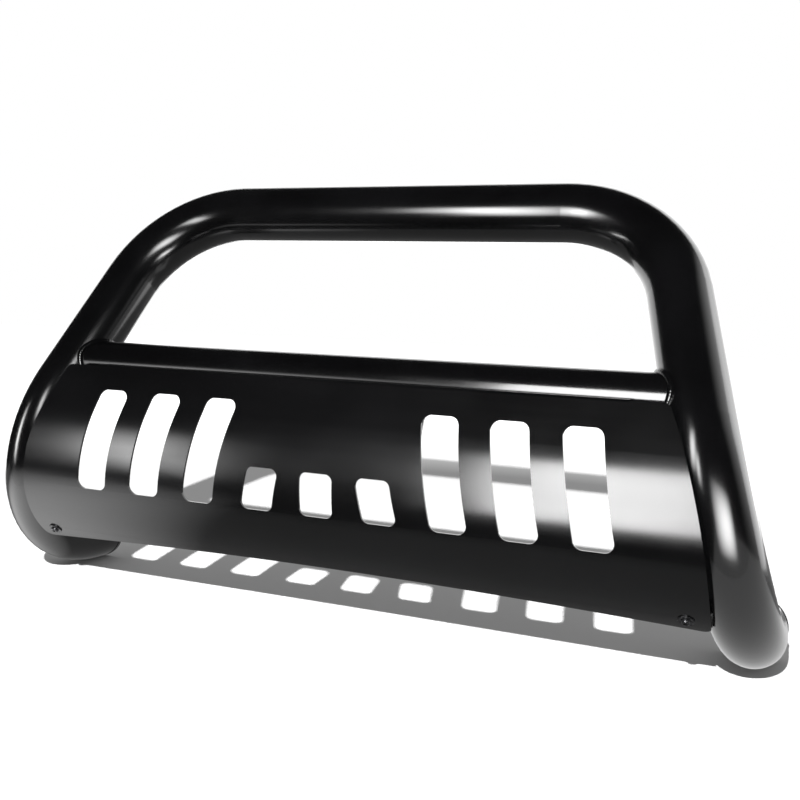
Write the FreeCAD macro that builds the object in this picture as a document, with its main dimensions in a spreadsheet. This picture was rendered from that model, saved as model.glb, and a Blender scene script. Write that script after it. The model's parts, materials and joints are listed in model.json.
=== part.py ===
"""Front grille guard: a bent 3 inch tube hoop, a cross tube and a slotted skid plate.

Millimetres, +Z up. The vehicle is behind the guard, on the +Y side, and +X is to the right
as seen from in front. The origin lies midway between the hoop's two rear ends, on the rear
faces of their end plates and at the height of the tube's axis, where the guard bolts on.
"""

import FreeCAD, Part
import math
import os
import Sketcher
from FreeCAD import Placement, Rotation, Vector

SIZES = [
    # main hoop, measured along the axis of its tube
    ("tube_diameter", 76.2, "outside diameter of the hoop's tube, 3 in"),
    ("tube_wall", 2.0, "wall of the hoop's tube"),
    ("top_height", 496, "top bar's axis above the rear ends' axis"),
    ("top_setback", 18, "top bar's axis in front of the mounting faces"),
    ("foot_reach", 323.5, "corner of the lower bends in front of the mounting faces"),
    ("shoulder_half", 355, "half the distance between the corners of the upper bends"),
    ("foot_half", 488, "half the distance between the axes of the rear ends"),
    ("shoulder_bend", 155, "centreline radius of the upper bends"),
    ("foot_bend", 170, "centreline radius of the lower bends"),
    # cross tube
    ("cross_diameter", 57.15, "outside diameter of the cross tube, 2 1/4 in"),
    ("cross_wall", 2.0, "wall of the cross tube"),
    ("cross_height", 276, "cross tube's axis above the rear ends' axis"),
    # welds
    ("tube_bead", 4.5, "leg of the fillet welds between the tubes"),
    ("tab_bead", 4, "leg of the fillet welds of tabs and brackets"),
    ("root_gap", 0.3, "gap left under a weld where two pieces meet"),
    # skid plate: a flat strip along the top, then a roll, measured down its front face
    ("plate_thickness", 3, "thickness of the skid plate"),
    ("plate_reach", 199.5, "top edge of the plate in front of the mounting faces"),
    ("plate_top", 273.2, "top edge of the plate above the rear ends' axis"),
    ("plate_lean", 23.7, "lean of the flat strip from upright, degrees"),
    ("plate_flat", 56.7, "length of the flat strip"),
    ("plate_roll", 157.2, "radius of the rolled part's front face"),
    ("plate_length", 273.8, "length of the sheet down its front face, at the sides"),
    ("plate_top_half", 390.5, "half the width of the plate at its top edge"),
    ("plate_mid_half", 432.5, "half the width of the plate halfway down"),
    ("plate_foot_half", 446, "half the width of the plate at its lower edge"),
    ("plate_arch", 22.4, "rise of the lower edge at the middle, along the sheet"),
    ("plate_corner", 9, "radius of the plate's four corners"),
    ("lip_depth", 12, "depth of the lip turned rearward along the top"),
    ("lip_bend", 2, "inner radius of the lip's bend"),
    ("lip_start", 1.8, "start of the lip's bend down the plate's front face"),
    ("lip_inset", 42, "distance from the plate's top corner to the end of the lip"),
    # openings of the skid plate, measured down its front face
    ("slot_outer", 315, "middle of the outermost slot from the centre line"),
    ("slot_pitch", 80.8, "distance from slot to slot"),
    ("slot_width", 44.5, "width of a slot"),
    ("slot_start", 32.8, "upper end of the slots"),
    ("slot_end", 167.1, "lower end of the slots and windows"),
    ("slot_lean", 9.7, "lean of the slots, degrees"),
    ("slot_corner", 11, "corner radius of the slots"),
    ("window_pitch", 76, "distance from window to window"),
    ("window_width", 42.9, "width of a window"),
    ("window_start", 113.7, "upper end of the windows"),
    ("window_lean", 11.3, "lean of the side windows, degrees"),
    ("window_corner", 9, "corner radius of the windows"),
    # fixings of the skid plate, M6
    ("lower_fix_half", 420, "lower screws from the centre line"),
    ("lower_fix_down", 250.3, "lower screws down the plate's front face"),
    ("upper_fix_half", 104, "upper studs from the centre line"),
    ("upper_fix_down", 41.5, "upper studs down the plate's front face"),
    ("screw_diameter", 6, "thread of the screws and studs"),
    ("screw_hole", 6.6, "clearance hole for them"),
    ("screw_length", 20, "length of the lower screws under the head"),
    ("head_diameter", 10.5, "diameter of the button head"),
    ("head_height", 3.3, "height of the button head"),
    ("head_flat", 6, "diameter of the flat on the button head's crown"),
    ("hex_key", 4, "width across flats of the head's socket"),
    ("stud_length", 16, "length of the studs behind the plate"),
    ("stud_foot", 10, "diameter of the studs' welded foot"),
    ("washer_diameter", 18, "diameter of the flat washers"),
    ("washer_thickness", 1.6, "thickness of the flat washers"),
    ("rubber_thickness", 1.5, "thickness of the rubber washers"),
    ("spring_diameter", 11.8, "diameter of the spring washers"),
    ("spring_thickness", 1.6, "thickness of the spring washers"),
    ("nut_flats", 10, "width across flats of the M6 nuts"),
    ("nut_thickness", 5, "thickness of the M6 nuts"),
    ("nut_face_share", 0.95, "diameter of a nut's flat face over its width across flats"),
    # tabs at the plate's lower corners and brackets behind its top
    ("tab_thickness", 4, "thickness of tabs and brackets"),
    ("tab_width", 24, "width of the lower tabs"),
    ("tab_corner", 9.6, "corner radius of the lower tabs' inner ends"),
    ("tab_seat", 0.5, "room between the rolled sheet's back and a flat tab, at the screw"),
    ("bracket_width", 36, "width of the upper brackets"),
    ("bracket_foot", 15, "bracket's foot above and below its hole"),
    ("bracket_bend", 4, "inner bend radius of the brackets"),
    # end plates
    ("end_thickness", 6, "thickness of the end plates"),
    ("end_groove", 2.5, "weld groove round the end plates"),
    ("mount_half", 18, "mounting holes above and below the tube's axis"),
    ("mount_hole", 13, "diameter of the mounting holes, for M12"),
    ("mount_nut_flats", 19, "width across flats of the M12 weld nuts"),
    ("mount_nut_thickness", 10, "thickness of the M12 weld nuts"),
    ("mount_thread", 12, "thread of the weld nuts"),
]

document = FreeCAD.newDocument("front_grille_guard")
sheet = document.addObject("Spreadsheet::Sheet", "Sizes")
for row, (alias, value, meaning) in enumerate(SIZES, start=1):
    sheet.set(f"A{row}", meaning)
    sheet.set(f"B{row}", str(value))
    sheet.setAlias(f"B{row}", alias)
document.recompute()
size = {alias: float(sheet.get(alias)) for alias, value, meaning in SIZES}

AXIS_X = Vector(1, 0, 0)
AXIS_Y = Vector(0, 1, 0)
AXIS_Z = Vector(0, 0, 1)
SIDES = (("left", -1), ("right", 1))
nodes = {}


# ---------------------------------------------------------------- document helpers

def bind(thing, **expressions):
    """Bind properties of a document object to cells of the sheet."""
    for name, expression in expressions.items():
        thing.setExpression(name, expression)
    return thing


def add(kind, name, **expressions):
    """Add a document object and bind its sizes."""
    thing = document.addObject(kind, name)
    thing.Label = name
    return bind(thing, **expressions)


def keep(node, thing):
    """Give a finished sub-part the label that names its file."""
    thing.Label = node
    nodes[node] = thing
    return thing


def cut(name, base, tool):
    """Subtract one document object from another."""
    result = add("Part::Cut", name)
    result.Base = base
    result.Tool = tool
    return result


def common(name, *things):
    """Intersect document objects."""
    result = add("Part::MultiCommon", name)
    result.Shapes = list(things)
    return result


def group(name, *things):
    """Hold separate solids together as one sub-part."""
    result = add("Part::Compound", name)
    result.Links = list(things)
    return result


def mirror(name, thing):
    """Repeat a sub-part on the other side of the centre line."""
    result = add("Part::Mirroring", name)
    result.Source = thing
    result.Base = Vector(0, 0, 0)
    result.Normal = AXIS_X
    return result


def body_plane(body, role):
    """Find one of a body's own origin planes."""
    return next(plane for plane in body.Origin.OriginFeatures if plane.Role == role)


def sketch_on(body, name, role, offset=Placement()):
    """Attach a new sketch to one of the body's origin planes."""
    sketch = body.newObject("Sketcher::SketchObject", name)
    sketch.AttachmentSupport = [(body_plane(body, role), "")]
    sketch.MapMode = "FlatFace"
    sketch.AttachmentOffset = offset
    return sketch


def draw(sketch, edges):
    """Draw finished curves in a sketch and pin them where they are."""
    for edge in edges:
        index = sketch.addGeometry(edge, False)
        sketch.addConstraint(Sketcher.Constraint("Block", index))


def draw_circle(sketch, x, y, diameter):
    """Draw a circle whose place and diameter are expressions of the sheet."""
    index = sketch.addGeometry(Part.Circle(Vector(1, 1, 0), AXIS_Z, 1), False)
    for kind, expression in (("DistanceX", x), ("DistanceY", y)):
        if expression == "0":
            sketch.addConstraint(Sketcher.Constraint(kind, -1, 1, index, 3, 0))
        else:
            number = sketch.addConstraint(Sketcher.Constraint(kind, -1, 1, index, 3, 1))
            sketch.setExpression(f"Constraints[{number}]", expression)
    number = sketch.addConstraint(Sketcher.Constraint("Diameter", index, 2))
    sketch.setExpression(f"Constraints[{number}]", diameter)


def pad(body, sketch, length, midplane=False, reverse=False):
    """Pad a sketch by a length from the sheet."""
    feature = body.newObject("PartDesign::Pad", sketch.Name + "_pad")
    feature.Profile = sketch
    feature.Midplane = midplane
    feature.Reversed = reverse
    feature.setExpression("Length", length)
    return feature


def pocket_through(body, sketch):
    """Cut a sketch through the whole body, both ways."""
    feature = body.newObject("PartDesign::Pocket", sketch.Name + "_pocket")
    feature.Profile = sketch
    feature.Type = "ThroughAll"
    feature.Midplane = True
    return feature


# ---------------------------------------------------------------- geometry helpers

def corner_arc(before, corner, after, radius):
    """Arc of a radius that rounds a corner; returns its start, middle and end."""
    inward = (before - corner).normalize()
    outward = (after - corner).normalize()
    half_angle = inward.getAngle(outward) / 2
    trim = radius / math.tan(half_angle)
    bisector = (inward + outward).normalize()
    middle = corner + bisector * (radius / math.sin(half_angle) - radius)
    return corner + inward * trim, middle, corner + outward * trim


def rounded_edges(corners, radii, closed):
    """Lines and arcs through corners, each corner rounded by its radius (0 keeps it sharp)."""
    count = len(corners)
    edges = []
    ends = []
    for index, (corner, radius) in enumerate(zip(corners, radii)):
        free_end = not closed and index in (0, count - 1)
        if free_end or radius == 0:
            ends.append((corner, corner))
            continue
        start, middle, end = corner_arc(corners[index - 1], corner, corners[(index + 1) % count], radius)
        edges.append((index, Part.Arc(start, middle, end)))
        ends.append((start, end))
    last = count if closed else count - 1
    for index in range(last):
        start = ends[index][1]
        end = ends[(index + 1) % count][0]
        edges.append((index + 0.5, Part.LineSegment(start, end)))
    return [edge for place, edge in sorted(edges, key=lambda item: item[0])]


def plate_angle(down):
    """Angle of the sheet from upright at a distance down its front face."""
    lean = math.radians(size["plate_lean"])
    return lean - max(0, down - size["plate_flat"]) / size["plate_roll"]


def plate_point(down, behind=0.0):
    """Point (0, y, z) at a distance down the front face and a depth behind it."""
    lean = math.radians(size["plate_lean"])
    angle = plate_angle(down)
    flat = min(down, size["plate_flat"])
    roll = size["plate_roll"]
    y = -size["plate_reach"] - flat * math.sin(lean) - roll * (math.cos(angle) - math.cos(lean))
    z = size["plate_top"] - flat * math.cos(lean) - roll * (math.sin(lean) - math.sin(angle))
    return Vector(0, y + behind * math.cos(angle), z - behind * math.sin(angle))


def plate_frame(across, down, behind):
    """Placement on the plate: local X is across, Y up the sheet and Z out of its front."""
    tilt = Rotation(AXIS_X, 90 - math.degrees(plate_angle(down)))
    return Placement(plate_point(down, behind) + AXIS_X * across, tilt)


def facing_sheet(down):
    """Offset that turns a sketch on the XZ plane to face the sheet at a distance down it."""
    upright = Placement(Vector(0, 0, 0), Rotation(AXIS_X, 90))
    return upright.inverse() * plate_frame(0, down, 0)


# ---------------------------------------------------------------- main hoop and cross tube

def hoop_corners():
    """Corners of the hoop's axis from the left rear end to the right one."""
    rear = -size["end_thickness"]
    right = [
        Vector(size["shoulder_half"], -size["top_setback"], size["top_height"]),
        Vector(size["foot_half"], -size["foot_reach"], 0),
        Vector(size["foot_half"], rear, 0),
    ]
    left = [Vector(-point.x, point.y, point.z) for point in reversed(right)]
    return left + right


def make_hoop_path():
    """The hoop's axis: straight runs joined by tangent bends."""
    radii = [0, size["foot_bend"], size["shoulder_bend"], size["shoulder_bend"], size["foot_bend"], 0]
    path = add("Part::Feature", "hoop_path")
    path.Shape = Part.Wire([edge.toShape() for edge in rounded_edges(hoop_corners(), radii, closed=False)])
    return path


def sweep_round(name, path, radius):
    """Solid round bar along the hoop's axis."""
    section = add("Part::Circle", name + "_section", Radius=radius)
    section.Placement = Placement(hoop_corners()[0], Rotation(AXIS_Z, AXIS_Y))
    sweep = add("Part::Sweep", name)
    sweep.Sections = [section]
    sweep.Spine = (path, [f"Edge{number + 1}" for number in range(len(path.Shape.Edges))])
    sweep.Solid = True
    sweep.Frenet = False
    return sweep


def leg_bar(name, side, radius):
    """Solid round bar along a leg's straight run, used to cope and weld the cross tube."""
    shoulder = Vector(side * size["shoulder_half"], -size["top_setback"], size["top_height"])
    foot = Vector(side * size["foot_half"], -size["foot_reach"], 0)
    bar = add("Part::Cylinder", name, Radius=radius)
    bar.Height = (shoulder - foot).Length
    bar.Placement = Placement(foot, Rotation(AXIS_Z, shoulder - foot))
    return bar


def cross_axis():
    """Where the cross tube's axis meets the right leg's axis."""
    share = size["cross_height"] / size["top_height"]
    x = size["foot_half"] + (size["shoulder_half"] - size["foot_half"]) * share
    y = -size["foot_reach"] + (size["foot_reach"] - size["top_setback"]) * share
    return Vector(x, y, size["cross_height"])


def cross_bar(name, radius, start, length):
    """Solid round bar along the cross tube's axis."""
    bar = add("Part::Cylinder", name, Radius=radius)
    bar.Height = length
    bar.Placement = Placement(Vector(start, cross_axis().y, cross_axis().z), Rotation(AXIS_Z, AXIS_X))
    return bar


def make_main_hoop(path):
    """One tube with four bends."""
    outside = sweep_round("hoop_outside", path, "Sizes.tube_diameter / 2")
    inside = sweep_round("hoop_inside", path, "Sizes.tube_diameter / 2 - Sizes.tube_wall")
    keep("main_hoop", cut("main_hoop", outside, inside))


def make_cross_tube():
    """A tube between the legs, its ends coped to fit them."""
    half = cross_axis().x
    outside = cross_bar("cross_outside", "Sizes.cross_diameter / 2", -half, 2 * half)
    inside = cross_bar("cross_inside", "Sizes.cross_diameter / 2 - Sizes.cross_wall", -half, 2 * half)
    tube = cut("cross_full", outside, inside)
    for name, side in SIDES:
        cope = leg_bar(f"cope_{name}", side, "Sizes.tube_diameter / 2 + Sizes.root_gap")
        tube = cut(f"cross_coped_{name}", tube, cope)
    keep("cross_tube", tube)


def make_cross_welds():
    """Beads round the cross tube's ends, where it meets the legs."""
    reach = size["tube_diameter"]
    half = cross_axis().x
    collar = cross_bar("bead_collar", "Sizes.cross_diameter / 2 + Sizes.tube_bead", half - reach, reach)
    band = leg_bar("bead_band", 1, "Sizes.tube_diameter / 2 + Sizes.tube_bead")
    leg = leg_bar("bead_leg", 1, "Sizes.tube_diameter / 2")
    tube = cross_bar("bead_tube", "Sizes.cross_diameter / 2", half - reach, reach)
    ring = cut("bead_ring", cut("bead_on_leg", common("bead_block", collar, band), leg), tube)
    keep("cross_tube_weld_right", ring)
    keep("cross_tube_weld_left", mirror("bead_mirror", ring))


# ---------------------------------------------------------------- skid plate

def plate_profile():
    """Section of the sheet: flat strip and roll, front face first."""
    flat = size["plate_flat"]
    length = size["plate_length"]
    thick = size["plate_thickness"]
    half_roll = (flat + length) / 2

    def flatten(point):
        return Vector(point.y, point.z, 0)

    front = [flatten(plate_point(down)) for down in (0, flat, half_roll, length)]
    back = [flatten(plate_point(down, thick)) for down in (0, flat, half_roll, length)]
    return [
        Part.LineSegment(front[0], front[1]),
        Part.Arc(front[1], front[2], front[3]),
        Part.LineSegment(front[3], back[3]),
        Part.Arc(back[3], back[2], back[1]),
        Part.LineSegment(back[1], back[0]),
        Part.LineSegment(back[0], front[0]),
    ]


def lip_profile():
    """Section of the lip: a bend near the sheet's top and a level flange rearward."""
    inner = size["lip_bend"]
    outer = inner + size["plate_thickness"]
    lean = plate_angle(size["lip_start"])
    centre = plate_point(size["lip_start"], outer)
    centre = Vector(centre.y, centre.z, 0)
    turn = math.pi / 2 - lean

    def around(radius, share):
        # share 0 is where the bend leaves the leaning sheet, and 1 is where it has turned level
        direction = math.pi - lean - turn * share
        return centre + Vector(math.cos(direction), math.sin(direction), 0) * radius

    flange = Vector(size["lip_depth"] - outer, 0, 0)
    outside = [around(outer, share) for share in (0, 0.5, 1)]
    inside = [around(inner, share) for share in (0, 0.5, 1)]
    return [
        Part.Arc(outside[0], outside[1], outside[2]),
        Part.LineSegment(outside[2], outside[2] + flange),
        Part.LineSegment(outside[2] + flange, inside[2] + flange),
        Part.LineSegment(inside[2] + flange, inside[2]),
        Part.Arc(inside[2], inside[1], inside[0]),
        Part.LineSegment(inside[0], outside[0]),
    ]


def rectangle(left, low, right, high):
    """Four edges of a rectangle."""
    corners = [Vector(left, low, 0), Vector(right, low, 0), Vector(right, high, 0), Vector(left, high, 0)]
    return rounded_edges(corners, [0, 0, 0, 0], closed=True)


def plate_outline():
    """Front view of what is cut away beside the plate: its sides are long arcs."""
    high = size["plate_top"] + size["lip_depth"]
    low = plate_point(size["plate_length"]).z - size["plate_thickness"]
    middle = plate_point(size["plate_length"] / 2).z
    edges = []
    for name, side in SIDES:
        top = Vector(side * size["plate_top_half"], size["plate_top"], 0)
        waist = Vector(side * size["plate_mid_half"], middle, 0)
        foot = Vector(side * size["plate_foot_half"], low, 0)
        outer_foot = Vector(side * (size["plate_foot_half"] + 2 * size["tube_diameter"]), low, 0)
        outer_top = Vector(outer_foot.x, high, 0)
        inner_top = Vector(top.x, high, 0)
        edges += [
            Part.Arc(top, waist, foot),
            Part.LineSegment(foot, outer_foot),
            Part.LineSegment(outer_foot, outer_top),
            Part.LineSegment(outer_top, inner_top),
            Part.LineSegment(inner_top, top),
        ]
    return edges


def opening_outline(across, start, end, width, lean, corner):
    """Rounded opening of the plate in front view; it leans outward going down."""
    slope = math.tan(math.radians(lean)) * (0 if across == 0 else math.copysign(1, across))
    middle = (start + end) / 2
    corners = []
    for down, half in ((start, -width / 2), (start, width / 2), (end, width / 2), (end, -width / 2)):
        corners.append(Vector(across + half + slope * (down - middle), plate_point(down).z, 0))
    return rounded_edges(corners, [corner] * len(corners), closed=True)


def corner_edges(shape):
    """Names of the short edges through the sheet at its four outer corners."""
    longest = 2 * size["plate_thickness"]
    outside = size["plate_top_half"] - size["plate_thickness"]
    names = []
    for number, edge in enumerate(shape.Edges, start=1):
        if edge.Length < longest and abs(edge.CenterOfMass.x) > outside:
            names.append(f"Edge{number}")
    return names


def make_skid_plate():
    """Rolled sheet with a lip, six slots, three windows and two screw holes."""
    body = add("PartDesign::Body", "skid_plate")
    profile = sketch_on(body, "plate_section", "YZ_Plane")
    draw(profile, plate_profile())
    pad(body, profile, "2 * (Sizes.plate_foot_half + Sizes.tube_diameter)", midplane=True)

    sides = sketch_on(body, "plate_sides", "XZ_Plane")
    draw(sides, plate_outline())
    pocket_through(body, sides)

    # between the lip's ends the sheet stops where the lip's bend starts
    half_lip = size["plate_top_half"] - size["lip_inset"]
    bend_start = plate_point(size["lip_start"]).z
    notch = sketch_on(body, "lip_notch", "XZ_Plane")
    draw(notch, rectangle(-half_lip, bend_start, half_lip, bend_start + size["lip_depth"]))
    pocket_through(body, notch)
    lip = sketch_on(body, "lip_section", "YZ_Plane")
    draw(lip, lip_profile())
    pad(body, lip, "2 * (Sizes.plate_top_half - Sizes.lip_inset)", midplane=True)

    openings = sketch_on(body, "plate_openings", "XZ_Plane")
    for number in range(3):
        across = size["slot_outer"] - number * size["slot_pitch"]
        for name, side in SIDES:
            draw(openings, opening_outline(side * across, size["slot_start"], size["slot_end"],
                                           size["slot_width"], size["slot_lean"], size["slot_corner"]))
    for number in (-1, 0, 1):
        draw(openings, opening_outline(number * size["window_pitch"], size["window_start"], size["slot_end"],
                                       size["window_width"], size["window_lean"], size["window_corner"]))
    pocket_through(body, openings)

    # the lower edge is arched: this cut looks straight at the sheet's foot
    length = size["plate_length"]
    arch = sketch_on(body, "plate_arch", "XZ_Plane", facing_sheet(length))
    half = size["plate_foot_half"] + size["tube_diameter"]
    rise = size["plate_arch"] * (half / size["plate_foot_half"]) ** 2
    drop = size["plate_arch"] - rise
    below = -size["tube_diameter"]
    draw(arch, [
        Part.Arc(Vector(-half, drop, 0), Vector(0, size["plate_arch"], 0), Vector(half, drop, 0)),
        Part.LineSegment(Vector(half, drop, 0), Vector(half, below, 0)),
        Part.LineSegment(Vector(half, below, 0), Vector(-half, below, 0)),
        Part.LineSegment(Vector(-half, below, 0), Vector(-half, drop, 0)),
    ])
    trim = body.newObject("PartDesign::Pocket", "plate_arch_pocket")
    trim.Profile = arch
    trim.Midplane = True
    trim.setExpression("Length", "Sizes.tube_diameter")
    document.recompute()

    corners = body.newObject("PartDesign::Fillet", "plate_corners")
    corners.Base = (trim, corner_edges(trim.Shape))
    corners.setExpression("Radius", "Sizes.plate_corner")

    holes = sketch_on(body, "plate_holes", "XZ_Plane", facing_sheet(size["lower_fix_down"]))
    draw_circle(holes, "Sizes.lower_fix_half", "0", "Sizes.screw_hole")
    draw_circle(holes, "-Sizes.lower_fix_half", "0", "Sizes.screw_hole")
    drill = body.newObject("PartDesign::Pocket", "plate_holes_pocket")
    drill.Profile = holes
    drill.Midplane = True
    drill.setExpression("Length", "10 * Sizes.plate_thickness")
    return body


# ---------------------------------------------------------------- fasteners

def new_body(name, placement):
    """A body of its own, placed."""
    body = add("PartDesign::Body", name)
    body.Placement = placement
    return body


def hexagon(flats):
    """Six edges of a hexagon from its width across flats, which is an expression of the sheet."""
    radius = size[flats] / math.sqrt(3)
    points = [Vector(radius * math.cos(math.radians(60 * turn)), radius * math.sin(math.radians(60 * turn)), 0)
              for turn in range(6)]
    return [Part.LineSegment(points[turn - 1], points[turn]) for turn in range(6)]


def make_ring(name, placement, outer, inner, thickness):
    """Washer whose lower face is on its placement."""
    body = new_body(name, placement)
    sketch = sketch_on(body, name + "_ring", "XY_Plane")
    draw_circle(sketch, "0", "0", outer)
    draw_circle(sketch, "0", "0", inner)
    pad(body, sketch, thickness)
    return body


def make_spring_ring(name, placement):
    """Split spring washer."""
    body = make_ring(name, placement, "Sizes.spring_diameter", "Sizes.screw_diameter", "Sizes.spring_thickness")
    slit = sketch_on(body, name + "_slit", "XY_Plane")
    half = size["spring_thickness"] / 4
    reach = size["spring_diameter"]
    draw(slit, rectangle(0, -half, reach, half))
    pocket_through(body, slit)
    return body


def make_nut(name, placement, flats, bore, thickness):
    """Hexagon nut with chamfered corners; its lower face is on its placement."""
    body = new_body(name, placement)
    sketch = sketch_on(body, name + "_hexagon", "XY_Plane")
    draw(sketch, hexagon(flats))
    draw_circle(sketch, "0", "0", bore)
    pad(body, sketch, thickness)
    top = size[thickness.split(".")[1]]
    face = size[flats] / 2 * size["nut_face_share"]
    corner = size[flats] / math.sqrt(3)
    beyond = 2 * corner - face
    drop = (beyond - face) / math.sqrt(3)
    section = sketch_on(body, name + "_chamfer", "XZ_Plane")
    for level, way in ((0, 1), (top, -1)):
        wedge = [Vector(face, level, 0), Vector(beyond, level, 0), Vector(beyond, level + way * drop, 0)]
        draw(section, rounded_edges(wedge, [0, 0, 0], closed=True))
    groove = body.newObject("PartDesign::Groove", name + "_chamfers")
    groove.Profile = section
    groove.ReferenceAxis = (section, ["V_Axis"])
    groove.Angle = 360
    return body


def make_button_screw(name, placement):
    """Button-head screw with a hexagon socket; the underside of its head is on its placement."""
    body = new_body(name, placement)
    section = sketch_on(body, name + "_section", "XZ_Plane")
    shank = size["screw_diameter"] / 2
    tip = -size["screw_length"]
    chamfer = shank / 5
    rim = size["head_diameter"] / 2
    crown = size["head_height"]
    flat = size["head_flat"] / 2
    midway = math.radians(45)
    shoulder = Vector(flat + (rim - flat) * math.cos(midway), crown * math.sin(midway), 0)
    draw(section, [
        Part.LineSegment(Vector(0, crown, 0), Vector(0, tip, 0)),
        Part.LineSegment(Vector(0, tip, 0), Vector(shank - chamfer, tip, 0)),
        Part.LineSegment(Vector(shank - chamfer, tip, 0), Vector(shank, tip + chamfer, 0)),
        Part.LineSegment(Vector(shank, tip + chamfer, 0), Vector(shank, 0, 0)),
        Part.LineSegment(Vector(shank, 0, 0), Vector(rim, 0, 0)),
        Part.Arc(Vector(rim, 0, 0), shoulder, Vector(flat, crown, 0)),
        Part.LineSegment(Vector(flat, crown, 0), Vector(0, crown, 0)),
    ])
    turned = body.newObject("PartDesign::Revolution", name + "_turned")
    turned.Profile = section
    turned.ReferenceAxis = (section, ["V_Axis"])
    turned.Angle = 360
    socket = sketch_on(body, name + "_socket", "XY_Plane", Placement(Vector(0, 0, crown), Rotation()))
    draw(socket, hexagon("hex_key"))
    depth = body.newObject("PartDesign::Pocket", name + "_socket_pocket")
    depth.Profile = socket
    depth.setExpression("Length", "Sizes.hex_key / 2")
    return body


def both_sides(node, right):
    """One node that holds a fastener and its twin on the other side."""
    keep(node, group(node + "_pair", right, mirror(right.Name + "_left", right)))


def make_lower_fasteners():
    """Screws through the plate's lower corners, with what lies under their heads and nuts."""
    across = size["lower_fix_half"]
    down = size["lower_fix_down"]

    def at(behind):
        return plate_frame(across, down, behind)

    both_sides("lower_screws", make_button_screw("lower_screw", at(-size["washer_thickness"])))
    front = make_ring("lower_front_washer", at(0), "Sizes.washer_diameter", "Sizes.screw_hole",
                      "Sizes.washer_thickness")
    both_sides("lower_front_washers", front)
    behind = size["plate_thickness"] + size["tab_seat"] + size["tab_thickness"] + size["washer_thickness"]
    back = make_ring("lower_back_washer", at(behind), "Sizes.washer_diameter", "Sizes.screw_hole",
                     "Sizes.washer_thickness")
    both_sides("lower_back_washers", back)
    behind += size["spring_thickness"]
    both_sides("lower_spring_washers", make_spring_ring("lower_spring_washer", at(behind)))
    behind += size["nut_thickness"]
    nut = make_nut("lower_nut", at(behind), "nut_flats", "Sizes.screw_diameter", "Sizes.nut_thickness")
    both_sides("lower_nuts", nut)


def make_upper_fasteners():
    """Studs welded to the plate's back, and what holds the brackets on them."""
    across = size["upper_fix_half"]
    down = size["upper_fix_down"]

    def at(behind):
        return plate_frame(across, down, behind)

    behind = size["plate_thickness"]
    stud = new_body("plate_stud", at(behind))
    foot = sketch_on(stud, "stud_foot", "XY_Plane")
    draw_circle(foot, "0", "0", "Sizes.stud_foot")
    pad(stud, foot, "Sizes.rubber_thickness / 2", reverse=True)
    shank = sketch_on(stud, "stud_shank", "XY_Plane")
    draw_circle(shank, "0", "0", "Sizes.screw_diameter")
    pad(stud, shank, "Sizes.stud_length", reverse=True)
    both_sides("plate_studs", stud)
    behind += size["rubber_thickness"]
    rubber = make_ring("stud_rubber_washer", at(behind), "Sizes.washer_diameter",
                       "Sizes.stud_foot + 2 * Sizes.root_gap", "Sizes.rubber_thickness")
    both_sides("stud_rubber_washers", rubber)
    behind += size["tab_thickness"] + size["washer_thickness"]
    flat = make_ring("stud_washer", at(behind), "Sizes.washer_diameter", "Sizes.screw_hole",
                     "Sizes.washer_thickness")
    both_sides("stud_washers", flat)
    behind += size["spring_thickness"]
    both_sides("stud_spring_washers", make_spring_ring("stud_spring_washer", at(behind)))
    behind += size["nut_thickness"]
    nut = make_nut("stud_nut", at(behind), "nut_flats", "Sizes.screw_diameter", "Sizes.nut_thickness")
    both_sides("stud_nuts", nut)


# ---------------------------------------------------------------- tabs and brackets

def make_lower_tabs(path, outside):
    """Flat tabs behind the plate's lower corners, coped and welded to the lower bends."""
    behind = size["plate_thickness"] + size["tab_seat"] + size["tab_thickness"]
    frame = plate_frame(size["lower_fix_half"], size["lower_fix_down"], behind)
    half = size["tab_width"] / 2
    reach = size["tube_diameter"] / 2
    body = new_body("lower_tab_full", frame)
    outline = sketch_on(body, "lower_tab_outline", "XY_Plane")
    corners = [Vector(-half, -half, 0), Vector(reach, -half, 0), Vector(reach, half, 0), Vector(-half, half, 0)]
    draw(outline, rounded_edges(corners, [size["tab_corner"], 0, 0, size["tab_corner"]], closed=True))
    draw_circle(outline, "0", "0", "Sizes.screw_hole")
    pad(body, outline, "Sizes.tab_thickness")
    clearance = sweep_round("hoop_clearance", path, "Sizes.tube_diameter / 2 + Sizes.root_gap")
    tab = cut("lower_tab", body, clearance)
    keep("lower_tab_right", tab)
    keep("lower_tab_left", mirror("lower_tab_mirror", tab))

    bead = size["tab_bead"]
    blank = add("Part::Box", "lower_tab_bead_blank", Width="Sizes.tab_width + 2 * Sizes.tab_bead",
                Height="Sizes.tab_thickness + Sizes.tab_bead - 2 * Sizes.tab_seat")
    blank.Length = reach
    blank.Placement = frame * Placement(Vector(0, -half - bead, -bead), Rotation())
    halo = sweep_round("hoop_halo", path, "Sizes.tube_diameter / 2 + Sizes.tab_bead")
    around = cut("lower_tab_bead_outside", common("lower_tab_bead_block", blank, halo), outside)
    weld = cut("lower_tab_bead", around, tab)
    keep("lower_tab_weld_right", weld)
    keep("lower_tab_weld_left", mirror("lower_tab_bead_mirror", weld))


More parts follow.
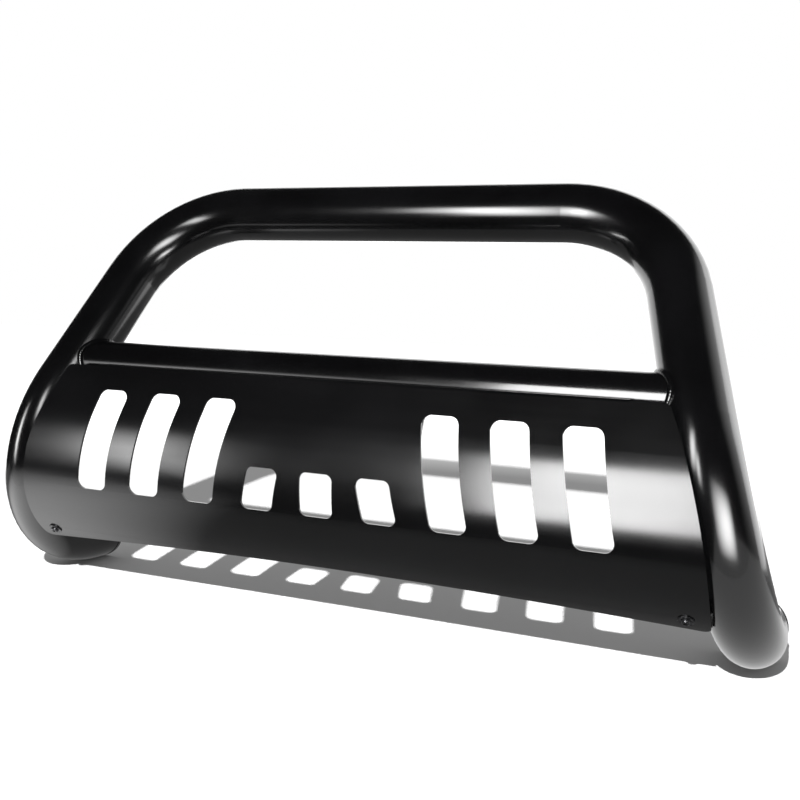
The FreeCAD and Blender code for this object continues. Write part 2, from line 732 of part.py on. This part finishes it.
def bracket_section():
    """Section of an upper bracket: a foot along the plate, then an arm to the cross tube's axis."""
    half = size["tab_thickness"] / 2
    behind = size["plate_thickness"] + size["rubber_thickness"] + half
    start = plate_point(size["upper_fix_down"] + size["bracket_foot"], behind)
    corner = plate_point(size["upper_fix_down"] - size["bracket_foot"], behind)
    end = Vector(0, cross_axis().y, cross_axis().z)
    start, corner, end = (Vector(point.y, point.z, 0) for point in (start, corner, end))
    foot = (corner - start).normalize()
    arm = (end - corner).normalize()
    foot_side = Vector(-foot.y, foot.x, 0)
    arm_side = Vector(-arm.y, arm.x, 0)
    mitre = (foot_side + arm_side) * (half / (1 + foot_side.dot(arm_side)))
    corners = [start + foot_side * half, corner + mitre, end + arm_side * half,
               end - arm_side * half, corner - mitre, start - foot_side * half]
    inner = size["bracket_bend"]
    outer = inner + size["tab_thickness"]
    return rounded_edges(corners, [0, outer, 0, 0, inner, 0], closed=True)


def make_upper_brackets():
    """Bent strips that hold the plate's top to the cross tube."""
    middle = Placement(AXIS_X * size["upper_fix_half"], Rotation())
    body = new_body("upper_bracket_full", middle)
    section = sketch_on(body, "bracket_section", "YZ_Plane")
    draw(section, bracket_section())
    pad(body, section, "Sizes.bracket_width", midplane=True)
    hole = sketch_on(body, "bracket_hole", "XZ_Plane", facing_sheet(size["upper_fix_down"]))
    draw_circle(hole, "0", "0", "Sizes.screw_hole")
    pocket_through(body, hole)
    clearance = cross_bar("cross_clearance", "Sizes.cross_diameter / 2 + Sizes.root_gap", 0, cross_axis().x)
    bracket = cut("upper_bracket", body, clearance)
    keep("upper_bracket_right", bracket)
    keep("upper_bracket_left", mirror("upper_bracket_mirror", bracket))

    bead = size["tab_bead"]
    axis = Vector(0, cross_axis().y, cross_axis().z)
    behind = size["plate_thickness"] + size["rubber_thickness"] + size["tab_thickness"] / 2
    corner = plate_point(size["upper_fix_down"] - size["bracket_foot"], behind)
    blank = add("Part::Box", "bracket_bead_blank", Length="Sizes.bracket_width + 2 * Sizes.tab_bead",
                Width="Sizes.tab_thickness + 2 * Sizes.tab_bead")
    blank.Height = (axis - corner).Length
    turn = Rotation(AXIS_X, axis - corner, corner - axis, "ZXY")
    offset = Vector(-size["bracket_width"] / 2 - bead, -size["tab_thickness"] / 2 - bead, 0)
    blank.Placement = Placement(axis + AXIS_X * size["upper_fix_half"], turn) * Placement(offset, Rotation())
    halo = cross_bar("cross_halo", "Sizes.cross_diameter / 2 + Sizes.tab_bead", 0, cross_axis().x)
    solid = cross_bar("cross_solid", "Sizes.cross_diameter / 2", 0, cross_axis().x)
    around = cut("bracket_bead_outside", common("bracket_bead_block", blank, halo), solid)
    weld = cut("bracket_bead", around, bracket)
    keep("upper_bracket_weld_right", weld)
    keep("upper_bracket_weld_left", mirror("bracket_bead_mirror", weld))


# ---------------------------------------------------------------- rear ends

def make_end_plates():
    """Round plates that close the hoop's rear ends and carry the mounting holes."""
    place = Placement(AXIS_X * size["foot_half"], Rotation())
    body = new_body("end_plate", place)
    disc = sketch_on(body, "end_disc", "XZ_Plane")
    draw_circle(disc, "0", "0", "Sizes.tube_diameter")
    draw_circle(disc, "0", "Sizes.mount_half", "Sizes.mount_hole")
    draw_circle(disc, "0", "-Sizes.mount_half", "Sizes.mount_hole")
    pad(body, disc, "Sizes.end_thickness")
    radius = size["tube_diameter"] / 2
    groove = size["end_groove"]
    inner = -size["end_thickness"]
    bevel = sketch_on(body, "end_bevel", "YZ_Plane")
    over = groove / 2
    corners = [Vector(inner - over, radius - groove - over, 0), Vector(inner + groove + over, radius + over, 0),
               Vector(inner - over, radius + over, 0)]
    draw(bevel, rounded_edges(corners, [0, 0, 0], closed=True))
    turned = body.newObject("PartDesign::Groove", "end_bevel_groove")
    turned.Profile = bevel
    turned.ReferenceAxis = (bevel, ["H_Axis"])
    turned.Angle = 360
    keep("end_plate_right", body)
    keep("end_plate_left", mirror("end_plate_mirror", body))

    weld = new_body("end_weld", place)
    section = sketch_on(weld, "end_weld_section", "YZ_Plane")
    crown = groove / 3
    root = Vector(inner, radius - groove, 0)
    rear = Vector(inner + groove, radius, 0)
    front = Vector(inner - groove / 2, radius, 0)
    top = Vector((rear.x + front.x) / 2, radius + crown, 0)
    draw(section, [
        Part.LineSegment(root, rear),
        Part.Arc(rear, top, front),
        Part.LineSegment(front, Vector(inner, radius, 0)),
        Part.LineSegment(Vector(inner, radius, 0), root),
    ])
    ring = weld.newObject("PartDesign::Revolution", "end_weld_ring")
    ring.Profile = section
    ring.ReferenceAxis = (section, ["H_Axis"])
    ring.Angle = 360
    keep("end_plate_weld_right", weld)
    keep("end_plate_weld_left", mirror("end_weld_mirror", weld))


def make_mount_nuts():
    """M12 weld nuts inside the hoop's ends, behind the mounting holes."""
    nuts = []
    for name, way in (("upper", 1), ("lower", -1)):
        place = Vector(size["foot_half"], -size["end_thickness"], way * size["mount_half"])
        nut = make_nut(f"mount_nut_{name}", Placement(place, Rotation(AXIS_X, 90)), "mount_nut_flats",
                       "Sizes.mount_thread", "Sizes.mount_nut_thickness")
        nuts += [nut, mirror(nut.Name + "_left", nut)]
    keep("mount_nuts", group("mount_nuts", *nuts))


def check_and_write():
    """Stop if anything failed, then write one STEP file for each sub-part."""
    for thing in document.Objects:
        if "Invalid" in thing.State or "Error" in thing.State:
            raise RuntimeError(f"{thing.Name} failed: {thing.State}")
    os.makedirs("parts", exist_ok=True)
    for node, thing in nodes.items():
        shape = thing.Shape
        if shape.isNull() or not shape.isValid():
            raise RuntimeError(f"{node} has no valid shape")
        shape.exportStep(f"parts/{node}.step")
        box = shape.optimalBoundingBox()
        print(node, len(shape.Solids), round(shape.Volume, 1),
              [round(value, 1) for value in (box.XMin, box.YMin, box.ZMin, box.XMax, box.YMax, box.ZMax)])


path = make_hoop_path()
document.recompute()
make_main_hoop(path)
make_cross_tube()
make_cross_welds()
keep("skid_plate", make_skid_plate())
make_lower_tabs(path, document.getObject("hoop_outside"))
make_upper_brackets()
make_lower_fasteners()
make_upper_fasteners()
make_end_plates()
make_mount_nuts()
document.recompute()
check_and_write()
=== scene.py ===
"""Looks of the front grille guard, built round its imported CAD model.

Lengths are metres in the model's own frame: +Z up, +Y towards the vehicle, +X to the right
as seen from in front. The tubes, sheet, brackets and fasteners are the CAD's own meshes with
finishes from here; the weld beads at the cross tube and at the end plates are modelled here.
"""

import json
import math

import bmesh
import bpy
from mathutils import Matrix, Vector


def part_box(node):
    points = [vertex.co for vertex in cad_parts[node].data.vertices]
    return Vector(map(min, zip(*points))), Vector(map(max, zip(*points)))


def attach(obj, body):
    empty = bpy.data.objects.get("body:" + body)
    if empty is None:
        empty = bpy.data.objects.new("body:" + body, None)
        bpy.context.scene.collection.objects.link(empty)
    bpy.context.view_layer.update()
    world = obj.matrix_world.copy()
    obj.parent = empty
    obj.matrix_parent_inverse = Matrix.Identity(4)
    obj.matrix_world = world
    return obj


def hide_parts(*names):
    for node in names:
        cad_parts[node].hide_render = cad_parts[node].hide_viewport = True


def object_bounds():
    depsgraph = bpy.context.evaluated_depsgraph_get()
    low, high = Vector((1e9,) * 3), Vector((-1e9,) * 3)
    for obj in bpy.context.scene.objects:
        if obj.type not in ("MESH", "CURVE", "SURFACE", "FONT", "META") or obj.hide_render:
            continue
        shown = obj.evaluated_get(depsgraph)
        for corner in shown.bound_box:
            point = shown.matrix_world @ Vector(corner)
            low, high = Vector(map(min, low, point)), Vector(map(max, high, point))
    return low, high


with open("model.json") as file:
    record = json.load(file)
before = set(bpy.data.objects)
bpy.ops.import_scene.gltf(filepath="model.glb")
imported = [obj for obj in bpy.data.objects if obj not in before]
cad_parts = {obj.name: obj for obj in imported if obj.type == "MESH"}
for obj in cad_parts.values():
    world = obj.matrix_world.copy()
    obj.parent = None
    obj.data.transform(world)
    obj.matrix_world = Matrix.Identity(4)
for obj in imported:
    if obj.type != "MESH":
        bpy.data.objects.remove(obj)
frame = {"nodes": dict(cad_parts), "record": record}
cad_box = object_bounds()
scene = bpy.context.scene

MM = 0.001

# The range in which most of a noise texture's values lie.
NOISE_LOW = 0.35
NOISE_HIGH = 0.65

# A Mix node's colour sockets share their names with its number sockets, so they go by place.
MIX_FIRST_COLOUR = 6
MIX_SECOND_COLOUR = 7
MIX_COLOUR_RESULT = 2


# ---------------------------------------------------------------- material helpers

def new_material(name):
    """Node material with its principled shader."""
    material = bpy.data.materials.new(name)
    material.use_nodes = True
    nodes = material.node_tree.nodes
    shader = nodes["Principled BSDF"]
    return material, shader


def node(material, kind, **inputs):
    """New node with some of its input sockets set."""
    made = material.node_tree.nodes.new(kind)
    for label, value in inputs.items():
        made.inputs[label.replace("_", " ")].default_value = value
    return made


def link(material, output, target):
    """Link an output socket to an input socket."""
    material.node_tree.links.new(output, target)


def place(material, stretch=(1, 1, 1)):
    """Position on the object, stretched along each axis."""
    source = material.node_tree.nodes.new("ShaderNodeTexCoord")
    mapping = node(material, "ShaderNodeMapping", Scale=stretch)
    link(material, source.outputs["Object"], mapping.inputs["Vector"])
    return mapping.outputs["Vector"]


def noise(material, size, detail=2.0, stretch=(1, 1, 1)):
    """Noise whose blotches are about this size, as a value from 0 to 1."""
    made = node(material, "ShaderNodeTexNoise", Scale=1 / size, Detail=detail)
    link(material, place(material, stretch), made.inputs["Vector"])
    return made.outputs["Fac"]


def spread(material, value, low, high, start=NOISE_LOW, end=NOISE_HIGH):
    """Value between start and end turned into one between low and high."""
    made = node(material, "ShaderNodeMapRange", From_Min=start, From_Max=end, To_Min=low, To_Max=high)
    link(material, value, made.inputs["Value"])
    return made.outputs["Result"]


def add_values(material, first, second):
    """Sum of two values."""
    made = material.node_tree.nodes.new("ShaderNodeMath")
    made.operation = "ADD"
    link(material, first, made.inputs[0])
    link(material, second, made.inputs[1])
    return made.outputs["Value"]


def blend_colours(material, value, first, second):
    """Colour between two, by a value from 0 to 1."""
    made = material.node_tree.nodes.new("ShaderNodeMix")
    made.data_type = "RGBA"
    made.inputs[MIX_FIRST_COLOUR].default_value = (*first, 1)
    made.inputs[MIX_SECOND_COLOUR].default_value = (*second, 1)
    link(material, value, made.inputs["Factor"])
    return made.outputs[MIX_COLOUR_RESULT]


def bump(material, height, distance, strength=1.0, under=None):
    """Bump of a height map, laid over another bump if there is one."""
    made = node(material, "ShaderNodeBump", Strength=strength, Distance=distance)
    link(material, height, made.inputs["Height"])
    if under is not None:
        link(material, under, made.inputs["Normal"])
    return made.outputs["Normal"]


# ---------------------------------------------------------------- finishes

COAT_IOR = 1.5


def gloss_coat():
    """Gloss black powder coat on tube: orange peel, a few dull patches and a little dust."""
    patch_size = 110 * MM
    dull_size = 50 * MM
    speck_size = 2.2 * MM
    peel_size = 3.2 * MM
    wave_size = 30 * MM
    darkest = (0.0008, 0.0008, 0.0009)
    lightest = (0.0018, 0.0018, 0.0020)
    material, shader = new_material("gloss_coat")
    haze = spread(material, noise(material, patch_size, 3), 0.0, 1.0)
    dust = spread(material, noise(material, speck_size, 2), 0.0, 1.0, 0.60, 0.78)
    link(material, blend_colours(material, haze, darkest, lightest), shader.inputs["Base Color"])
    dull = spread(material, noise(material, dull_size, 3), 0.16, 0.19)
    dusty = spread(material, dust, 0.0, 0.04, 0, 1)
    link(material, add_values(material, dull, dusty), shader.inputs["Roughness"])
    peel = bump(material, noise(material, peel_size, 2), 0.02 * MM, 0.2)
    waves = bump(material, noise(material, wave_size, 1), 0.06 * MM, 0.15, peel)
    link(material, waves, shader.inputs["Normal"])
    shader.inputs["IOR"].default_value = COAT_IOR
    shader.inputs["Coat Weight"].default_value = 0.2
    shader.inputs["Coat Roughness"].default_value = 0.07
    return material


def satin_coat():
    """Semi-gloss black powder coat on sheet, with faint marks of rolling along its length."""
    patch_size = 140 * MM
    dull_size = 70 * MM
    streak_size = 10 * MM
    grain_size = 1.6 * MM
    wave_size = 60 * MM
    darkest = (0.0008, 0.0008, 0.0009)
    lightest = (0.0020, 0.0020, 0.0022)
    material, shader = new_material("satin_coat")
    haze = spread(material, noise(material, patch_size, 3, (0.5, 1, 1)), 0.0, 1.0)
    link(material, blend_colours(material, haze, darkest, lightest), shader.inputs["Base Color"])
    streaks = spread(material, noise(material, streak_size, 2, (0.04, 1, 1)), 0.0, 0.012)
    dull = spread(material, noise(material, dull_size, 2), 0.19, 0.215)
    link(material, add_values(material, dull, streaks), shader.inputs["Roughness"])
    grain = bump(material, noise(material, grain_size, 2), 0.012 * MM, 0.2)
    rolled = bump(material, noise(material, wave_size, 1, (0.3, 1, 1)), 0.08 * MM, 0.1, grain)
    link(material, rolled, shader.inputs["Normal"])
    shader.inputs["IOR"].default_value = COAT_IOR
    return material


def black_oxide():
    """Black finish of the screws: dark metal, rubbed a little."""
    rub_size = 1.8 * MM
    dull_size = 3 * MM
    grain_size = 0.8 * MM
    dark = (0.03, 0.03, 0.032)
    rubbed_bare = (0.14, 0.14, 0.145)
    material, shader = new_material("black_oxide")
    rubbed = spread(material, noise(material, rub_size, 3), 0.0, 1.0, 0.5, 0.75)
    link(material, blend_colours(material, rubbed, dark, rubbed_bare), shader.inputs["Base Color"])
    dull = spread(material, noise(material, dull_size, 2), 0.24, 0.36)
    link(material, dull, shader.inputs["Roughness"])
    grain = bump(material, noise(material, grain_size, 2), 0.01 * MM, 0.5)
    link(material, grain, shader.inputs["Normal"])
    shader.inputs["Metallic"].default_value = 0.85
    return material


def zinc_steel():
    """Bright zinc plate with cloudy patches and fine tool marks."""
    cloud_size = 4 * MM
    dull_size = 2 * MM
    mark_size = 0.9 * MM
    bluish = (0.50, 0.52, 0.55)
    yellowish = (0.66, 0.66, 0.64)
    material, shader = new_material("zinc_steel")
    cloud = spread(material, noise(material, cloud_size, 4), 0.0, 1.0)
    link(material, blend_colours(material, cloud, bluish, yellowish), shader.inputs["Base Color"])
    dull = spread(material, noise(material, dull_size, 3), 0.22, 0.40)
    link(material, dull, shader.inputs["Roughness"])
    marks = bump(material, noise(material, mark_size, 2, (1, 1, 4)), 0.01 * MM, 0.5)
    link(material, marks, shader.inputs["Normal"])
    shader.inputs["Metallic"].default_value = 1.0
    return material


def rubber():
    """Matt black rubber, dusted."""
    dust_size = 3 * MM
    dull_size = 2 * MM
    grain_size = 0.6 * MM
    clean = (0.012, 0.012, 0.012)
    dusted = (0.03, 0.03, 0.029)
    material, shader = new_material("rubber")
    dust = spread(material, noise(material, dust_size, 4), 0.0, 1.0)
    link(material, blend_colours(material, dust, clean, dusted), shader.inputs["Base Color"])
    dull = spread(material, noise(material, dull_size, 2), 0.62, 0.82)
    link(material, dull, shader.inputs["Roughness"])
    grain = bump(material, noise(material, grain_size, 2), 0.02 * MM, 0.6)
    link(material, grain, shader.inputs["Normal"])
    return material


FINISHES = {
    "gloss_coat": gloss_coat(),
    "satin_coat": satin_coat(),
    "black_oxide": black_oxide(),
    "zinc_steel": zinc_steel(),
    "rubber": rubber(),
}


def finish_cad_nodes():
    """Give every CAD node the finish of its slot in the record."""
    for row in frame["record"]["subparts"]:
        target = frame["nodes"][row["node"]]
        target.data.materials.clear()
        target.data.materials.append(FINISHES[row["material_slot"]])


# ---------------------------------------------------------------- weld beads

RIPPLE_PITCH = 3.2 * MM
RIPPLE_STEPS = 8
SECTION_STEPS = 20

# Depth of a ripple as a share of the bead's radius, and how far it leads on the bead's outer side.
RIPPLE_DEPTH = 0.05
CRESCENT = 0.45


def make_bead(name, centre, outward, radius, length, replaced):
    """Closed weld bead along a loop, rippled like stacked coins.

    centre and outward give the loop's point and its direction away from the loop's axis,
    for a turn from 0 to 1. length is the loop's length, which sets the number of ripples.
    """
    ripples = round(length / RIPPLE_PITCH)
    steps = ripples * RIPPLE_STEPS
    mesh = bmesh.new()
    rings = []
    for step in range(steps):
        turn = step / steps
        ahead = centre(turn + 0.5 / steps) - centre(turn - 0.5 / steps)
        along = ahead.normalized()
        up = outward(turn)
        up = (up - along * up.dot(along)).normalized()
        side = along.cross(up)
        ring = []
        for corner in range(SECTION_STEPS):
            angle = 2 * math.pi * corner / SECTION_STEPS
            phase = turn * ripples + CRESCENT * math.cos(angle)
            height = abs(math.sin(math.pi * phase))
            reach = radius * (1 - RIPPLE_DEPTH * (1 - height))
            spoke = up * math.cos(angle) + side * math.sin(angle)
            ring.append(mesh.verts.new(centre(turn) + spoke * reach))
        rings.append(ring)
    for step in range(steps):
        near = rings[step]
        far = rings[(step + 1) % steps]
        for corner in range(SECTION_STEPS):
            after = (corner + 1) % SECTION_STEPS
            mesh.faces.new((near[corner], far[corner], far[after], near[after]))
    bmesh.ops.recalc_face_normals(mesh, faces=mesh.faces)
    data = bpy.data.meshes.new(name)
    mesh.to_mesh(data)
    mesh.free()
    data.shade_smooth()
    bead = bpy.data.objects.new(name, data)
    scene.collection.objects.link(bead)
    data.materials.append(FINISHES["gloss_coat"])
    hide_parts(replaced)
    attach(bead, "root")
    return bead


# The hoop's tube, the cross tube, its bead's radius, and the corners of one half of the hoop's path.
TUBE_RADIUS = 38.1 * MM
CROSS_RADIUS = 28.575 * MM
CROSS_BEAD = 4.4 * MM
SHOULDER = Vector((355, -18, 496)) * MM
FOOT = Vector((488, -323.5, 0)) * MM
CROSS_HEIGHT = 276 * MM


def make_cross_bead(name, side, replaced):
    """Fillet where the cross tube meets a leg of the hoop."""
    leg = (SHOULDER - FOOT).normalized()
    share = CROSS_HEIGHT / SHOULDER.z
    meeting = FOOT.lerp(SHOULDER, share)

    def around(turn):
        angle = 2 * math.pi * turn
        return Vector((0, math.cos(angle), math.sin(angle)))

    def centre(turn):
        """Where a line along the cross tube's surface meets the leg's surface."""
        offset = around(turn) * CROSS_RADIUS
        across = leg.x
        flat = 1 - across * across
        half_b = offset.dot(leg) * across
        c = offset.length_squared - offset.dot(leg) ** 2 - TUBE_RADIUS ** 2
        run = (half_b - math.sqrt(half_b * half_b - flat * c)) / flat
        point = meeting + offset + Vector((run, 0, 0))
        return Vector((side * point.x, point.y, point.z))

    length = 2 * math.pi * CROSS_RADIUS
    return make_bead(name, centre, around, CROSS_BEAD, length, replaced)


def make_end_bead(name, replaced):
    """Ring bead that joins an end plate to the tube, where the CAD has its weld."""
    low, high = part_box(replaced)
    radius = (high.y - low.y) / 2
    middle = (high + low) / 2
    ring = (high.z - low.z) / 2 - radius

    def around(turn):
        angle = 2 * math.pi * turn
        return Vector((math.cos(angle), 0, math.sin(angle)))

    def centre(turn):
        return middle + around(turn) * ring

    return make_bead(name, centre, around, radius, 2 * math.pi * ring, replaced)


# ---------------------------------------------------------------- floor, lights and camera

FLOOR_LEVEL = cad_box[0][2]
FLOOR_RADIUS = 60
FLOOR_SEGMENTS = 96
FLOOR_ROUGHNESS = 0.9

# The floor starts to glow here and glows fully there, so that it stays white far out.
GLOW_START = 1.3
GLOW_FULL = 2.6

# The sheet that stands for the floor in the coat's reflections.
SHEET_SIDE = 1.3
SHEET_FRONT = -0.36
SHEET_REAR = 3.2


def disc(name, centre, radius):
    """Flat disc with its face up."""
    mesh = bmesh.new()
    bmesh.ops.create_circle(mesh, cap_ends=True, segments=FLOOR_SEGMENTS, radius=radius)
    bmesh.ops.translate(mesh, verts=mesh.verts, vec=centre)
    data = bpy.data.meshes.new(name)
    mesh.to_mesh(data)
    mesh.free()
    made = bpy.data.objects.new(name, data)
    scene.collection.objects.link(made)
    return made


def make_floor():
    """Plain pale floor, which the gloss doesn't show."""
    floor = disc("floor", (0, 0, FLOOR_LEVEL), FLOOR_RADIUS)
    material, shader = new_material("pale_floor")
    tone = spread(material, noise(material, 0.5, 3), 0.0, 1.0)
    link(material, blend_colours(material, tone, (0.84, 0.84, 0.84), (0.86, 0.86, 0.86)),
         shader.inputs["Base Color"])
    shader.inputs["Roughness"].default_value = FLOOR_ROUGHNESS
    shader.inputs["Specular IOR Level"].default_value = 0.0
    distance = material.node_tree.nodes.new("ShaderNodeVectorMath")
    distance.operation = "LENGTH"
    link(material, place(material), distance.inputs[0])
    glow = spread(material, distance.outputs["Value"], 0.0, 1.0, GLOW_START, GLOW_FULL)
    shader.inputs["Emission Color"].default_value = (1, 1, 1, 1)
    link(material, glow, shader.inputs["Emission Strength"])
    floor.data.materials.append(material)
    floor.visible_glossy = False


def make_sheet_reflection():
    """The near part of the floor, as the coat sees it: a white sheet that ends in front."""
    outline = ((-SHEET_SIDE, SHEET_FRONT), (SHEET_SIDE, SHEET_FRONT),
               (SHEET_SIDE, SHEET_REAR), (-SHEET_SIDE, SHEET_REAR))
    corners = [(x, y, FLOOR_LEVEL) for x, y in outline]
    data = bpy.data.meshes.new("floor_sheet")
    data.from_pydata(corners, [], [(0, 1, 2, 3)])
    sheet = bpy.data.objects.new("floor_sheet", data)
    scene.collection.objects.link(sheet)
    material, shader = new_material("pale_sheet")
    shader.inputs["Base Color"].default_value = (0.95, 0.95, 0.95, 1)
    shader.inputs["Roughness"].default_value = FLOOR_ROUGHNESS
    shader.inputs["Specular IOR Level"].default_value = 0.0
    data.materials.append(material)
    sheet.visible_camera = False
    sheet.visible_diffuse = False
    sheet.visible_shadow = False


# Tilts of a panel, and the headings of an upright one, in degrees.
UPRIGHT = 90
FACE_UP = 180
FACING_VEHICLE = 0
FACING_LEFT = 90
FACING_FRONT = 180

# Where the front panels hang along Y.
FAR = -1.6
NEAR = -0.65


def hang_panel(name, centre, width, height, tilt, heading, radiance, seen_by=None):
    """Panel of light that shows only in the gloss, of the nodes in seen_by or else of all."""
    light = bpy.data.lights.new(name, "AREA")
    light.shape = "RECTANGLE"
    light.size = width
    light.size_y = height
    light.energy = radiance * math.pi * width * height
    lamp = bpy.data.objects.new(name, light)
    lamp.location = centre
    lamp.rotation_euler = (math.radians(tilt), 0, math.radians(heading))
    lamp.visible_camera = False
    lamp.visible_diffuse = False
    scene.collection.objects.link(lamp)
    if seen_by is not None:
        lamp.light_linking.receiver_collection = seen_by
    return light


def make_panel(name, low, high, depth, radiance, seen_by=None):
    """Upright panel in front of the object, between two corners given by x and z."""
    centre = ((low[0] + high[0]) / 2, depth, (low[1] + high[1]) / 2)
    width = high[0] - low[0]
    height = high[1] - low[1]
    return hang_panel(name, centre, width, height, UPRIGHT, FACING_VEHICLE, radiance, seen_by)


def soften(light):
    """Let a panel fade from its middle to its edges, like a lit cloth."""
    light.use_nodes = True
    tree = light.node_tree
    place_on_panel = tree.nodes.new("ShaderNodeNewGeometry").outputs["Parametric"]
    apart = tree.nodes.new("ShaderNodeSeparateXYZ")
    tree.links.new(place_on_panel, apart.inputs["Vector"])
    fades = []
    for axis in ("X", "Y"):
        half_turn = tree.nodes.new("ShaderNodeMath")
        half_turn.operation = "MULTIPLY"
        half_turn.inputs[1].default_value = math.pi
        tree.links.new(apart.outputs[axis], half_turn.inputs[0])
        wave = tree.nodes.new("ShaderNodeMath")
        wave.operation = "SINE"
        tree.links.new(half_turn.outputs["Value"], wave.inputs[0])
        fades.append(wave.outputs["Value"])
    product = tree.nodes.new("ShaderNodeMath")
    product.operation = "MULTIPLY"
    tree.links.new(fades[0], product.inputs[0])
    tree.links.new(fades[1], product.inputs[1])
    tree.links.new(product.outputs["Value"], tree.nodes["Emission"].inputs["Strength"])


def collect(name, chosen):
    """Collection of the objects that see a panel."""
    made = bpy.data.collections.new(name)
    for thing in chosen:
        made.objects.link(thing)
    return made


def make_panels():
    """Panels in front of the guard, behind it, at its right and at its feet."""
    hoop = collect("sees_hoop_panels", [frame["nodes"]["main_hoop"]])
    sheet = collect("sees_sheet_panels", [thing for thing in bpy.data.objects
                                          if thing.type == "MESH" and thing.name != "main_hoop"])
    plate = collect("sees_plate_panels", [frame["nodes"]["skid_plate"]])
    bar = collect("sees_bar_panels", [frame["nodes"]["cross_tube"]])
    just_above_floor = FLOOR_LEVEL + MM
    make_panel("panel_middle", (-0.19, -0.42), (0.42, 0.90), FAR, 23, sheet)
    soften(make_panel("panel_left", (-1.50, -0.42), (-1.05, 0.75), FAR, 16, plate))
    soften(make_panel("panel_bar", (-2.4, -0.2), (-0.1, 0.45), FAR, 4.5, bar))
    soften(make_panel("panel_hoop_top", (-0.60, 0.25), (-0.20, 1.0), FAR, 16, hoop))
    soften(make_panel("panel_top", (-0.13, 0.28), (0.15, 0.70), NEAR, 20, hoop))
    soften(make_panel("panel_leg_right", (0.40, -0.16), (0.92, 0.34), NEAR, 22, hoop))
    soften(make_panel("panel_leg_left", (-1.14, -0.10), (-0.86, 0.45), NEAR, 18, hoop))
    hang_panel("panel_back", (0, 1.5, 0.8), 8, 2.6, UPRIGHT, FACING_FRONT, 2.2)
    soften(hang_panel("panel_right", (2.4, 1.2, 1.5), 3.6, 4.0, UPRIGHT, FACING_LEFT, 1.7, hoop))
    hang_panel("panel_foot_right", (0.95, -0.35, just_above_floor), 1.2, 1.2, FACE_UP, 0, 0.7, hoop)
    soften(hang_panel("panel_foot_left", (-0.58, -0.30, just_above_floor), 0.7, 0.42, FACE_UP, 0, 2.8))


KEY_PLACE = (0.38, -2.05, 1.30)
KEY_RADIUS = 0.020
KEY_STRENGTH = 90.0

# Brightness of the surroundings as they light the floor, and as the gloss sees them.
FILL = 0.31
ROOM_IN_GLOSS = 0.02


def make_key():
    """Small key light behind and above the camera, which throws the shadows."""
    light = bpy.data.lights.new("key", "POINT")
    light.shadow_soft_size = KEY_RADIUS
    light.energy = 1.0
    light.use_nodes = True
    tree = light.node_tree
    falloff = tree.nodes.new("ShaderNodeLightFalloff")
    falloff.inputs["Strength"].default_value = KEY_STRENGTH
    tree.links.new(falloff.outputs["Constant"], tree.nodes["Emission"].inputs["Strength"])
    lamp = bpy.data.objects.new("key", light)
    lamp.location = KEY_PLACE
    lamp.visible_glossy = False
    scene.collection.objects.link(lamp)


def make_world():
    """White to the camera, a little fill for the floor, and a dim room in the gloss."""
    world = bpy.data.worlds.new("studio")
    world.use_nodes = True
    tree = world.node_tree
    background = tree.nodes["Background"]
    path = tree.nodes.new("ShaderNodeLightPath")
    fill = tree.nodes.new("ShaderNodeMapRange")
    fill.inputs["To Min"].default_value = FILL
    fill.inputs["To Max"].default_value = ROOM_IN_GLOSS
    tree.links.new(path.outputs["Is Glossy Ray"], fill.inputs["Value"])
    seen = tree.nodes.new("ShaderNodeMath")
    seen.operation = "MAXIMUM"
    tree.links.new(path.outputs["Is Camera Ray"], seen.inputs[0])
    tree.links.new(fill.outputs["Result"], seen.inputs[1])
    tree.links.new(seen.outputs["Value"], background.inputs["Strength"])
    background.inputs["Color"].default_value = (1, 1, 1, 1)
    scene.world = world


CAMERA_PLACE = (0.48535, -1.21958, 0.32885)
CAMERA_LENS = 42.5
CAMERA_SENSOR = 36
CAMERA_YAW = math.radians(21.296)
CAMERA_PITCH = math.radians(3.780)
CAMERA_ROLL = math.radians(2.690)


def make_camera():
    """Camera a little to the right of the middle, looking slightly down."""
    data = bpy.data.cameras.new("camera")
    data.sensor_width = CAMERA_SENSOR
    data.lens = CAMERA_LENS
    camera = bpy.data.objects.new("camera", data)
    level = math.radians(90)
    turn = (Matrix.Rotation(CAMERA_YAW, 4, "Z") @ Matrix.Rotation(level - CAMERA_PITCH, 4, "X")
            @ Matrix.Rotation(CAMERA_ROLL, 4, "Z"))
    camera.matrix_world = Matrix.Translation(CAMERA_PLACE) @ turn
    scene.collection.objects.link(camera)
    scene.camera = camera


finish_cad_nodes()
make_cross_bead("weld_bead_cross_left", -1, "cross_tube_weld_left")
make_cross_bead("weld_bead_cross_right", 1, "cross_tube_weld_right")
make_end_bead("weld_bead_end_left", "end_plate_weld_left")
make_end_bead("weld_bead_end_right", "end_plate_weld_right")

make_floor()
make_sheet_reflection()
make_panels()
make_key()
make_world()
make_camera()
scene.view_settings.view_transform = "Standard"
